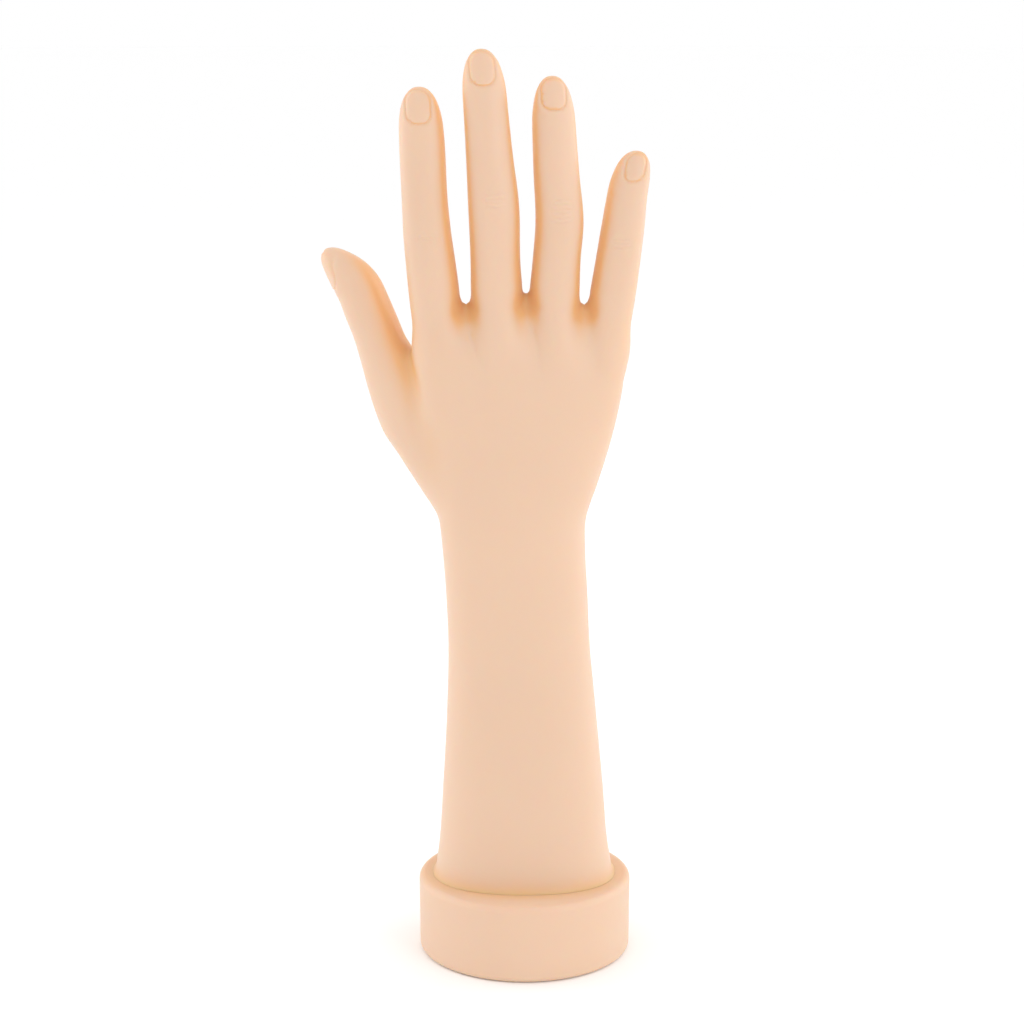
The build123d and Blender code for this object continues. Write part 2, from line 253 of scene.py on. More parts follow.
@dataclass(frozen=True)
class Groove:
    """A soft-edged line of relief on one side of the hand.

    Attributes:
        line: its points, as (x, z) in millimetres.
        depth: how deep it is at its first point.
        width: half its width at about a third of its depth.
        side: the side of the hand it lies on.
        end_depth: its depth at the line's last point.
        level: where back and palm meet, as a place along Y.
    """

    line: tuple[tuple[float, float], ...]
    depth: float
    width: float
    side: Side
    end_depth: float = 0.0
    level: float = 0.0

    def height(self, points: np.ndarray) -> np.ndarray:
        """How far the surface stands out at each point."""
        ends = np.array(self.line)
        reach = 3 * self.width
        low, high = ends.min(axis=0) - reach, ends.max(axis=0) + reach
        flat = points[:, (0, 2)]
        inside = ((flat > low) & (flat < high)).all(axis=1)
        rise = np.zeros(len(points))
        rise[inside] = self.height_close(points[inside])
        return rise

    def height_close(self, points: np.ndarray) -> np.ndarray:
        """How far the surface stands out at points in the line's own box."""
        flat = points[:, (0, 2)]
        best = np.full(len(points), np.inf)
        where = np.zeros(len(points))
        ends = np.array(self.line)
        lengths = np.linalg.norm(ends[1:] - ends[:-1], axis=1)
        total = lengths.sum()
        start = 0.0
        for first, second, length in zip(ends[:-1], ends[1:], lengths):
            step = (second - first) / length
            share = np.clip((flat - first) @ step, 0, length)
            gap = np.linalg.norm(flat - first - share[:, None] * step, axis=1)
            where = np.where(gap < best, (start + share) / total, where)
            best = np.minimum(best, gap)
            start += length
        depth = self.depth + (self.end_depth - self.depth) * where
        facing = smooth_step((self.side.value * (points[:, 1] - self.level) + 2) / 6)
        return -depth * np.exp(-((best / self.width) ** 2)) * facing

    def near(self, points: np.ndarray) -> np.ndarray:
        """Which points need a finer mesh for it."""
        if self.width > BROAD_RELIEF:
            return np.zeros(len(points), bool)
        return np.abs(self.height(points)) > FINE_SHARE * max(self.depth, self.end_depth)


@dataclass(frozen=True)
class Swell:
    """A low rounded rise."""

    centre: tuple[float, float, float]
    radii: tuple[float, float, float]
    rise: float

    def height(self, points: np.ndarray) -> np.ndarray:
        """How far the surface stands out at each point."""
        scaled = (points - np.array(self.centre)) / np.array(self.radii)
        return self.rise * np.exp(-np.minimum((scaled**2).sum(axis=1), 30))

    def near(self, points: np.ndarray) -> np.ndarray:
        """A rise this broad needs no finer mesh."""
        return np.zeros(len(points), bool)


@dataclass(frozen=True)
class Nail:
    """A moulded-in nail, in the axes of its limb: a low plate in a fine groove under a soft fold of skin.

    Attributes:
        limb: the finger or thumb it is on.
        across: how far its middle is off the limb's.
        cuticle: where its lower end is along the limb.
        width: its width.
        length: its length.
        turn: how far it is turned about the limb, in degrees.
        groove: how deep the groove round it is.
        groove_width: half that groove's width.
        plate: how high the nail stands.
        arch: how much higher its middle stands.
        fold: how high the skin round it stands.
    """

    limb: Limb
    across: float
    cuticle: float
    width: float
    length: float
    turn: float = 0.0
    groove: float = 0.32
    groove_width: float = 0.38
    plate: float = 0.14
    arch: float = 0.08
    fold: float = 0.1

    def plan(self, points: np.ndarray) -> tuple[np.ndarray, np.ndarray, np.ndarray]:
        """Where each point is on the nail.

        Args:
            points: places in the frame, in millimetres.

        Returns:
            The signed distance outside the nail's outline, the sideways place from -1 to 1, and a share
            that is 1 on the nail's side of the limb and 0 on the other.
        """
        across, through, along = self.limb.local(points).T
        side = across - self.limb.at(along, "across") - self.across
        front = through - self.limb.at(along, "through")
        angle = radians(self.turn)
        sideways = side * np.cos(angle) + front * np.sin(angle)
        outwards = side * np.sin(angle) - front * np.cos(angle)
        up = along - self.cuticle
        centre = self.length / 2
        corner = np.where(up < centre, CUTICLE_CORNER, TIP_CORNER) * self.width
        beyond_side = np.abs(sideways) - self.width / 2 + corner
        beyond_end = np.abs(up - centre) - centre + corner
        outside = np.hypot(np.maximum(beyond_side, 0), np.maximum(beyond_end, 0))
        signed = outside + np.minimum(np.maximum(beyond_side, beyond_end), 0) - corner
        return signed, 2 * sideways / self.width, smooth_step((outwards + 0.5) / 1.5)

    def height(self, points: np.ndarray) -> np.ndarray:
        """How far the surface stands out at each point."""
        rise = np.zeros(len(points))
        close = self.close(points)
        rise[close] = self.height_close(points[close])
        return rise

    def close(self, points: np.ndarray) -> np.ndarray:
        """Which points are on this nail's own fingertip."""
        across, through, along = self.limb.local(points).T
        side = np.abs(across - self.limb.at(along, "across"))
        front = np.abs(through - self.limb.at(along, "through"))
        up = np.abs(along - self.cuticle - self.length / 2)
        return (np.maximum(side, front) < TIP_REACH) & (up < self.length / 2 + 4.0)

    def height_close(self, points: np.ndarray) -> np.ndarray:
        """How far the surface stands out on the fingertip."""
        signed, sideways, facing = self.plan(points)
        groove = -self.groove * np.exp(-((signed / self.groove_width) ** 2))
        plate = self.plate * smooth_step(-signed / 0.6)
        arch = self.arch * np.exp(-((sideways / 0.25) ** 2)) * (signed < 0)
        fold = self.fold * np.exp(-(((signed - NAIL_FOLD) / 0.9) ** 2))
        return (groove + plate + arch + fold) * facing

    def near(self, points: np.ndarray) -> np.ndarray:
        """Which points need a finer mesh for it."""
        signed, _, facing = self.plan(points)
        return (np.abs(signed) < NAIL_FOLD) & (facing > 0.02) & self.close(points)


@dataclass
class HandForm:
    """The whole form of the hand and forearm: limbs, muscle masses and relief."""

    arm: Limb
    thumb: Limb
    fingers: list[Limb]
    masses: list[Mass]
    relief: list[Groove | Swell | Nail]
    finger_blend: float = 2.2  # how widely the fingers melt together
    webs_from: float = 219.0  # above this the webs need a finer mesh
    web_blend: float = 5.0  # how widely the fingers melt into the palm

    @property
    def limbs(self) -> list[Limb]:
        """Every limb."""
        return [self.arm, self.thumb, *self.fingers]

    def distance(self, points: np.ndarray) -> np.ndarray:
        """How far each point is outside the finished surface."""
        first, *others = self.fingers
        together = first.distance(points)
        for other in others:
            together = melted(together, other.distance(points), self.finger_blend)
        whole = melted(self.arm.distance(points), together, self.web_blend)
        for part in (self.thumb, *self.masses):
            whole = melted(whole, part.distance(points), part.blend)
        for detail in self.relief:
            whole = whole - detail.height(points)
        return whole

    def slope(self, points: np.ndarray, here: np.ndarray) -> np.ndarray:
        """How the distance rises along X, Y and Z from where it is here."""
        steps = FELT_STEP * np.eye(3)
        return np.stack([(self.distance(points + step) - here) / FELT_STEP for step in steps], axis=1)

    def settle(self, points: np.ndarray, rounds: int) -> np.ndarray:
        """The points moved straight onto the finished surface.

        Args:
            points: places near the surface, in millimetres.
            rounds: how many times each point steps towards the surface.

        Returns:
            The new places.
        """
        for _ in range(rounds):
            here = self.distance(points)
            slope = self.slope(points, here)
            size = np.maximum((slope**2).sum(axis=1), 0.2)
            points = points - np.clip(here / size, -LONGEST_MOVE, LONGEST_MOVE)[:, None] * slope
        return points

    def directions(self, points: np.ndarray) -> np.ndarray:
        """The outward direction of the surface at each point."""
        slope = self.slope(points, self.distance(points))
        return slope / np.maximum(np.linalg.norm(slope, axis=1), 1e-6)[:, None]

    def hollowness(self, points: np.ndarray) -> np.ndarray:
        """How enclosed each point is, from 0 in the open to 1 deep between the fingers.

        Args:
            points: places on the surface, in millimetres.

        Returns:
            The share of free room that is missing in front of each point.
        """
        outwards = self.directions(points)
        blocked = np.zeros(len(points))
        missing = np.zeros(len(points))
        for reach in HOLLOW_REACHES:
            room = self.distance(points + reach * outwards) / reach
            blocked = np.maximum(blocked, np.clip(1 - room, 0, 1))
            missing += blocked
        return missing / len(HOLLOW_REACHES)

    def needs_detail(self, points: np.ndarray) -> np.ndarray:
        """Which points lie where the relief is fine."""
        gaps = np.stack([limb.distance(points) for limb in self.fingers])
        gaps.sort(axis=0)
        fine = (gaps[1] < self.web_blend / 2) & (points[:, 2] > self.webs_from)
        for detail in self.relief:
            fine |= detail.near(points)
        return fine


def finger(name: str, rows: list[tuple[float, ...]], tip_from: float, tip_length: float) -> Limb:
    """An upright finger from (along, across, through, half width, back, palm) rows.

    Args:
        name: what the finger is called.
        rows: the values of its sections, from root to tip.
        tip_from: where its rounded tip begins.
        tip_length: how long the tip is.

    Returns:
        The finger, whose root melts into the palm.
    """
    return Limb(name, [Section(*row) for row in rows], tip_from, tip_length, root_from=212.0)


@dataclass
class RightHand:
    """Builds the form of a relaxed right hand, fingers up, with its forearm."""

    foot: float = 27.3
    webs: float = 226.0
    digits: dict[str, Limb] = field(default_factory=dict)

    def arm(self) -> Limb:
        """The forearm, wrist and palm as one limb."""
        rows = [
            (10.0, -0.2, 0.0, 31.6, 23.8, 23.8),
            (self.foot, -0.2, 0.0, 30.9, 23.2, 23.2),
            (38.0, -0.4, 0.0, 29.4, 22.2, 22.2),
            (60.0, -0.6, 0.0, 27.7, 21.0, 21.0),
            (88.0, -1.2, 0.0, 25.6, 19.4, 19.4),
            (110.0, -2.0, 0.0, 24.3, 17.8, 18.0),
            (128.0, -2.8, 0.0, 24.2, 16.6, 17.0),
            (142.0, -3.7, 0.0, 24.3, 16.2, 16.2),
            (154.0, -4.2, 0.2, 25.0, 15.8, 15.8),
            (166.0, -3.0, 0.6, 27.6, 15.6, 15.0),
            (180.0, -1.8, 0.8, 30.7, 15.2, 14.4),
            (194.0, -1.6, 0.8, 33.7, 14.6, 14.0),
            (208.0, -1.5, 0.6, 35.6, 13.0, 13.6),
            (220.0, -1.2, 0.4, 36.4, 9.8, 12.8),
        ]
        return Limb(
            "arm",
            [Section(*row) for row in rows],
            tip_from=208.0,
            tip_length=18.6,
            fullness=2.3,
            tip_fullness=2.6,
        )

    def thumb(self) -> Limb:
        """The thumb, in axes that lean away from the hand; its nail faces outwards."""
        rows = [
            (-12.0, 1.0, -2.0, 9.0, 10.0, 10.0),
            (5.0, -1.3, -0.5, 9.2, 11.5, 12.0),
            (15.0, -1.6, 0.0, 10.2, 12.4, 13.4),
            (24.0, -1.9, 0.2, 11.2, 12.2, 13.4),
            (31.0, -1.5, 0.2, 11.2, 11.4, 12.2),
            (40.0, -1.1, 0.0, 10.3, 10.0, 10.6),
            (50.0, -0.9, 0.0, 8.6, 9.0, 9.2),
            (57.0, -0.2, 0.0, 8.2, 9.0, 9.0),
            (64.0, 0.2, 0.0, 8.1, 9.3, 9.3),
            (71.5, 0.5, 0.0, 7.8, 9.2, 9.2),
            (79.0, -0.6, 0.0, 7.3, 8.8, 8.8),
            (86.0, -2.8, 0.0, 6.8, 8.2, 8.2),
        ]
        return Limb(
            "thumb",
            [Section(*row) for row in rows],
            tip_from=72.0,
            tip_length=16.3,
            root_from=0.0,
            root_length=14.0,
            origin=(-26.0, 7.0, 166.0),
            lean=-25.6,
            pitch=-5.5,
            fullness=2.2,
            tip_fullness=2.1,
            blend=5.0,
        )

    def build(self) -> HandForm:
        """The whole form."""
        index = finger(
            "index",
            [
                (200.0, -27.6, 0.6, 7.0, 8.0, 8.0),
                (self.webs, -29.9, 0.4, 8.5, 9.0, 9.6),
                (241.0, -31.5, 0.2, 8.3, 8.2, 8.6),
                (250.0, -32.5, 0.2, 8.0, 7.9, 7.6),
                (261.0, -33.3, 1.0, 7.65, 7.2, 7.6),
                (280.0, -34.2, 3.8, 7.55, 6.3, 6.9),
                (292.0, -34.9, 6.4, 7.1, 5.6, 6.3),
            ],
            tip_from=284.0,
            tip_length=14.0,
        )
        middle = finger(
            "middle",
            [
                (200.0, -9.2, -0.2, 7.0, 8.4, 8.0),
                (self.webs, -9.3, -0.4, 8.8, 9.6, 9.6),
                (241.0, -9.9, -0.6, 8.3, 8.6, 8.8),
                (260.0, -10.5, -0.4, 8.45, 8.0, 7.8),
                (277.0, -11.95, 1.8, 7.75, 7.0, 7.5),
                (293.0, -13.25, 5.2, 7.35, 6.1, 6.7),
                (304.0, -14.1, 7.8, 7.2, 5.5, 6.2),
            ],
            tip_from=294.0,
            tip_length=16.3,
        )
        ring = finger(
            "ring",
            [
                (200.0, 8.6, 0.0, 7.0, 8.2, 8.0),
                (self.webs, 9.5, 0.0, 8.5, 9.2, 9.4),
                (241.0, 10.4, 0.0, 8.0, 8.3, 8.4),
                (254.0, 11.35, 0.4, 8.0, 7.7, 7.5),
                (270.0, 10.3, 2.4, 7.6, 6.9, 7.3),
                (285.0, 9.5, 5.6, 7.25, 6.1, 6.6),
                (296.0, 9.1, 8.0, 7.0, 5.5, 6.1),
            ],
            tip_from=285.0,
            tip_length=16.5,
        )
        little = finger(
            "little",
            [
                (200.0, 25.4, 1.0, 5.8, 7.4, 7.2),
                (self.webs, 28.7, 1.4, 7.7, 8.2, 8.6),
                (241.0, 30.9, 1.8, 7.5, 7.3, 7.6),
                (254.0, 32.75, 3.2, 7.15, 6.6, 6.7),
                (263.0, 34.0, 5.0, 6.75, 5.9, 6.3),
                (272.0, 35.9, 7.0, 6.8, 5.2, 5.8),
            ],
            tip_from=263.0,
            tip_length=14.0,
        )
        arm, thumb = self.arm(), self.thumb()
        self.digits = {limb.name: limb for limb in (thumb, index, middle, ring, little)}
        masses = [
            Mass((-17.5, 9.5, 171.0), (13.2, 9.0, 27.0), blend=8.0, lean=-24.0),
            Mass((12.5, 8.5, 176.0), (11.0, 8.5, 27.0), blend=8.0, lean=9.0),
            Mass((0.3, 2.8, 219.4), (7.0, 6.0, 7.6), blend=6.0),
        ]
        return HandForm(arm, thumb, [index, middle, ring, little], masses, self.relief())

    def relief(self) -> list[Groove | Swell | Nail]:
        """Nails, knuckle wrinkles, the valleys on the back of the hand and the creases of the palm."""
        return [*self.nails(), *self.back_of_hand(), *self.wrinkles(), *self.palm_creases()]

    def nails(self) -> list[Nail]:
        """The five moulded-in nails."""
        of = self.digits
        return [
            Nail(of["thumb"], across=0.4, cuticle=74.5, width=11.0, length=13.2, turn=-74.0, groove=0.16),
            Nail(of["index"], across=-0.4, cuticle=286.2, width=8.4, length=10.8),
            Nail(of["middle"], across=-0.2, cuticle=298.6, width=8.3, length=10.9),
            Nail(of["ring"], across=0.1, cuticle=290.6, width=8.2, length=10.0),
            Nail(of["little"], across=0.6, cuticle=267.3, width=6.6, length=8.8),
        ]

    def back_of_hand(self) -> list[Groove | Swell]:
        """Valleys below the webs, with a fine crease in two of them, and the knuckles between."""
        valleys = [
            Groove(((-19.8, 224.0), (-17.4, 213.0), (-13.6, 199.0)), 2.0, 4.4, Side.BACK),
            Groove(((0.6, 226.0), (3.0, 214.0), (4.9, 199.0)), 2.0, 4.4, Side.BACK),
            Groove(((19.8, 223.0), (21.4, 213.0), (22.9, 200.0)), 1.9, 4.2, Side.BACK),
            Groove(((-18.4, 217.0), (-16.8, 213.0), (-12.8, 204.0)), 0.3, 1.1, Side.BACK, end_depth=0.1),
            Groove(((2.6, 218.0), (4.0, 213.0), (5.0, 205.0)), 0.25, 1.2, Side.BACK, end_depth=0.05),
        ]
        knuckles = [
            Swell((-29.0, -12.0, 214.0), (6.5, 6.0, 8.0), 0.7),
            Swell((-7.0, -13.0, 216.0), (6.5, 6.0, 8.5), 0.8),
            Swell((12.5, -12.0, 215.0), (6.0, 6.0, 8.0), 0.7),
            Swell((28.0, -10.0, 210.0), (5.5, 6.0, 7.5), 0.6),
            Swell((-33.0, -5.0, 192.0), (4.0, 8.0, 15.0), 0.7),
        ]
        return [*valleys, *knuckles]

    def wrinkles(self) -> list[Groove]:
        """Rows of short fine lines over the middle finger joints."""
        pitch, bend = 1.55, 0.35
        rows = [(-31.6, 249.2, 2, 8.0), (-9.8, 261.6, 4, 7.0), (12.2, 258.0, 6, 8.0), (32.0, 247.0, 3, 6.0)]
        lines = []
        for across, middle, count, length in rows:
            for number in range(count):
                from_middle = number - (count - 1) / 2
                level = middle + pitch * from_middle
                reach = length * (0.5 - 0.06 * abs(from_middle))
                end = level - (bend if from_middle > 0 else -bend)
                points = ((across - reach, end), (across, level), (across + reach, end))
                lines.append(Groove(points, 0.2, 0.45, Side.BACK, end_depth=0.14))
        return lines

    def palm_creases(self) -> list[Groove]:
        """The three long creases of the palm and the short ones across the fingers and the wrist."""
        long = [
            ((-33.0, 207.0), (-20.0, 203.0), (-9.0, 193.0), (-3.0, 178.0), (-3.0, 162.0), (-6.0, 150.0)),
            ((-33.0, 208.0), (-16.0, 204.0), (2.0, 195.0), (16.0, 183.0)),
            ((35.0, 200.0), (20.0, 206.0), (2.0, 209.0), (-8.0, 214.0), (-14.0, 222.0)),
        ]
        creases = [Groove(line, 0.8, 1.5, Side.PALM, end_depth=0.3) for line in long]
        joints = [
            ((-29.8, 230.0, 7.0), (-32.6, 251.0, 6.0), (-34.1, 275.0, 5.6)),
            ((-9.4, 231.5, 7.2), (-10.2, 258.0, 6.4), (-12.6, 285.0, 5.8)),
            ((9.9, 231.0, 7.0), (11.3, 254.5, 6.2), (10.0, 277.0, 5.6)),
            ((28.9, 229.0, 6.4), (32.2, 246.5, 5.6), (34.0, 262.0, 5.0)),
        ]
        for across, level, reach in (place for finger_joints in joints for place in finger_joints):
            points = ((across - reach, level + 0.6), (across, level), (across + reach, level + 0.6))
            creases.append(Groove(points, 0.5, 0.9, Side.PALM, end_depth=0.5, level=1.0))
        wrist = ((-22.0, 143.0), (-3.0, 140.5), (17.0, 143.0))
        creases.append(Groove(wrist, 0.5, 1.3, Side.PALM, end_depth=0.4))
        return creases


# --- finishes ---


class NodeBoard:
    """Lays out the nodes of one material."""

    def __init__(self, name: str) -> None:
        """Starts a material of that name with only its shader and output."""
        self.material = bpy.data.materials.new(name)
        self.material.use_nodes = True
        self.tree = self.material.node_tree
        self.shader = self.tree.nodes["Principled BSDF"]
        self.place = self.add("ShaderNodeTexCoord").outputs["Object"]

    def add(self, kind: str, **settings) -> bpy.types.Node:
        """A new node.

        Args:
            kind: the node's type.
            **settings: its settings by name.

        Returns:
            The node.
        """
        node = self.tree.nodes.new(kind)
        for name, value in settings.items():
            setattr(node, name, value)
        return node

    def feed(self, source, target) -> None:
        """Joins two sockets, or sets the target to a plain value."""
        if isinstance(source, bpy.types.NodeSocket):
            self.tree.links.new(source, target)
        else:
            target.default_value = source

    def give(self, socket: str, source) -> None:
        """Feeds one of the shader's sockets."""
        self.feed(source, self.shader.inputs[socket])

    def stretched(self, scale: tuple[float, float, float]) -> bpy.types.NodeSocket:
        """The object's own coordinates, scaled."""
        mapping = self.add("ShaderNodeMapping")
        self.feed(self.place, mapping.inputs["Vector"])
        mapping.inputs["Scale"].default_value = scale
        return mapping.outputs["Vector"]

    def noise(self, scale: float, detail: float, vector=None, rough: float = 0.5) -> bpy.types.NodeSocket:
        """A noise pattern.

        Args:
            scale: how fine it is.
            detail: how many finer layers it has.
            vector: the coordinates it lies on, the object's own where none are given.
            rough: how strong the finer layers are.

        Returns:
            Its value.
        """
        node = self.add("ShaderNodeTexNoise")
        self.feed(vector or self.place, node.inputs["Vector"])
        node.inputs["Scale"].default_value = scale
        node.inputs["Detail"].default_value = detail
        node.inputs["Roughness"].default_value = rough
        return node.outputs["Fac"]

    def ramp(self, source, low: float, high: float, to_low: float, to_high: float) -> bpy.types.NodeSocket:
        """The source spread smoothly from one range to another.

        Args:
            source: the value that is spread.
            low: where the first range starts.
            high: where it ends.
            to_low: what its start becomes; a value or a socket.
            to_high: what its end becomes.

        Returns:
            The new value.
        """
        node = self.add("ShaderNodeMapRange", interpolation_type="SMOOTHSTEP")
        for name, value in (("Value", source), ("From Min", low), ("From Max", high)):
            self.feed(value, node.inputs[name])
        self.feed(to_low, node.inputs["To Min"])
        self.feed(to_high, node.inputs["To Max"])
        return node.outputs["Result"]

    def mix(self, share, first, second) -> bpy.types.NodeSocket:
        """Two colours mixed, with a share of the second."""
        node = self.add("ShaderNodeMix", data_type="RGBA")
        self.feed(share, node.inputs["Factor"])
        self.feed(first, node.inputs[MIX_FIRST])
        self.feed(second, node.inputs[MIX_SECOND])
        return node.outputs[MIX_RESULT]

    def bump(self, height, strength: float, distance: float, onto=None) -> bpy.types.NodeSocket:
        """A bump from a height pattern.

        Args:
            height: the pattern.
            strength: how strongly it shows.
            distance: how high it is, in metres.
            onto: an earlier bump that this one lies on.

        Returns:
            The bumped direction of the surface.
        """
        node = self.add("ShaderNodeBump")
        node.inputs["Strength"].default_value = strength
        node.inputs["Distance"].default_value = distance
        self.feed(height, node.inputs["Height"])
        if onto is not None:
            self.feed(onto, node.inputs["Normal"])
        return node.outputs["Normal"]


def mesh_of(shape: bmesh.types.BMesh, name: str) -> bpy.types.Mesh:
    """The finished shape as a mesh; the shape is freed."""
    mesh = bpy.data.meshes.new(name)
    shape.to_mesh(mesh)
    shape.free()
    return mesh


def placed(name: str, data: bpy.types.ID) -> bpy.types.Object:
    """A new object in the scene, at its origin."""
    piece = bpy.data.objects.new(name, data)
    bpy.context.scene.collection.objects.link(piece)
    return piece


def opaque(colour: Colour) -> tuple[float, float, float, float]:
    """The colour with full alpha."""
    return (*colour, 1.0)


@dataclass(frozen=True)
class VinylFinish:
    """Soft satin vinyl: milky and faintly mottled, with painted shade that turns it orange in the hollows.

    Attributes:
        name: what the material is called.
        colour: its colour in the open.
        shade_tint: the colour of the painted shade in the hollows.
        shade_strength: how far the painted shade turns it to that colour where the piece carries its hollows.
        roughness: how dull it is.
        translucency: how milky it is.
        ring: half width, half depth and height of an oval foot that stands on the piece, if one does; painted
            shade is laid round it.
    """

    name: str
    colour: Colour
    shade_tint: Colour
    shade_strength: float = 0.0
    roughness: float = 0.44
    translucency: float = 0.4
    ring: tuple[float, float, float] | None = None

    def material(self) -> bpy.types.Material:
        """The finished material."""
        board = NodeBoard(self.name)
        paler = tuple(min(c * 1.025, 1.0) for c in self.colour)
        mottle = board.ramp(board.noise(16.0, 2.0), 0.3, 0.7, 0.0, 1.0)
        colour = board.mix(mottle, opaque(self.colour), opaque(paler))
        # painted shade: the colour turns orange where the skin lies enclosed, standing in for occlusion and
        # light bounced through the vinyl
        if self.shade_strength:
            hollow = board.add("ShaderNodeAttribute", attribute_name="hollow", attribute_type="GEOMETRY")
            share = board.ramp(hollow.outputs["Fac"], 0.02, 0.46, 0.0, self.shade_strength)
            colour = board.mix(share, colour, opaque(self.shade_tint))
        # painted shade: an orange ring on the top of the piece round the arm's foot, for the shade in the
        # corner where they meet
        if self.ring:
            colour = board.mix(self.deck_shade_share(board), colour, opaque(self.shade_tint))
        board.give("Base Color", colour)
        uneven = board.noise(140.0, 4.0)
        board.give("Roughness", board.ramp(uneven, 0.3, 0.7, self.roughness - 0.04, self.roughness + 0.05))
        soft = board.bump(board.noise(420.0, 3.0), 0.05, 0.0006)
        board.give("Normal", board.bump(board.noise(2600.0, 2.0), 0.06, 0.00012, soft))
        board.give("Subsurface Weight", self.translucency)
        board.give("Subsurface Radius", SKIN_DEPTHS)
        board.give("Subsurface Scale", 0.0035)
        board.give("IOR", 1.5)
        return board.material

    def deck_shade_share(self, board: NodeBoard) -> bpy.types.NodeSocket:
        """How much painted shade each place gets round an oval foot that stands on the finished piece."""
        half_width, half_depth, level = self.ring
        oval = board.add("ShaderNodeVectorMath", operation="LENGTH")
        board.feed(board.stretched((1 / half_width, 1 / half_depth, 0.0)), oval.inputs["Vector"])
        upright = board.add("ShaderNodeSeparateXYZ")
        board.feed(board.place, upright.inputs["Vector"])
        top = board.ramp(upright.outputs["Z"], level - 0.0016, level, 0.0, 0.5)
        return board.ramp(oval.outputs["Value"], 1.0, 1.32, top, 0.0)


@dataclass(frozen=True)
class MouldedFinish:
    """Injection-moulded plastic or rubber with a fine even texture and a little wear."""

    name: str
    colour: Colour
    worn: Colour
    roughness: float
    grain: float = 1800.0
    relief: float = 0.15

    def material(self) -> bpy.types.Material:
        """The finished material."""
        board = NodeBoard(self.name)
        cloud = board.ramp(board.noise(60.0, 4.0), 0.4, 0.75, 0.0, 0.6)
        board.give("Base Color", board.mix(cloud, opaque(self.colour), opaque(self.worn)))
        uneven = board.noise(300.0, 3.0)
        board.give("Roughness", board.ramp(uneven, 0.3, 0.7, self.roughness - 0.06, self.roughness + 0.06))
        board.give("Normal", board.bump(board.noise(self.grain, 2.0), self.relief, 0.0003))
        return board.material


@dataclass(frozen=True)
class MetalFinish:
    """Plated or turned metal with fine tool lines."""

    name: str
    colour: Colour
    roughness: float
    lines: tuple[float, float, float]
    relief: float = 0.08

    def material(self) -> bpy.types.Material:
        """The finished material."""
        board = NodeBoard(self.name)
        darker = tuple(c * 0.82 for c in self.colour)
        bloom = board.ramp(board.noise(90.0, 5.0), 0.35, 0.7, 0.0, 1.0)
        board.give("Base Color", board.mix(bloom, opaque(self.colour), opaque(darker)))
        board.give("Metallic", 1.0)
        tooling = board.noise(1.0, 3.0, board.stretched(self.lines), 0.6)
        board.give("Roughness", board.ramp(tooling, 0.3, 0.7, self.roughness - 0.07, self.roughness + 0.08))
        board.give("Normal", board.bump(tooling, self.relief, 0.0002))
        return board.material


# --- pieces ---


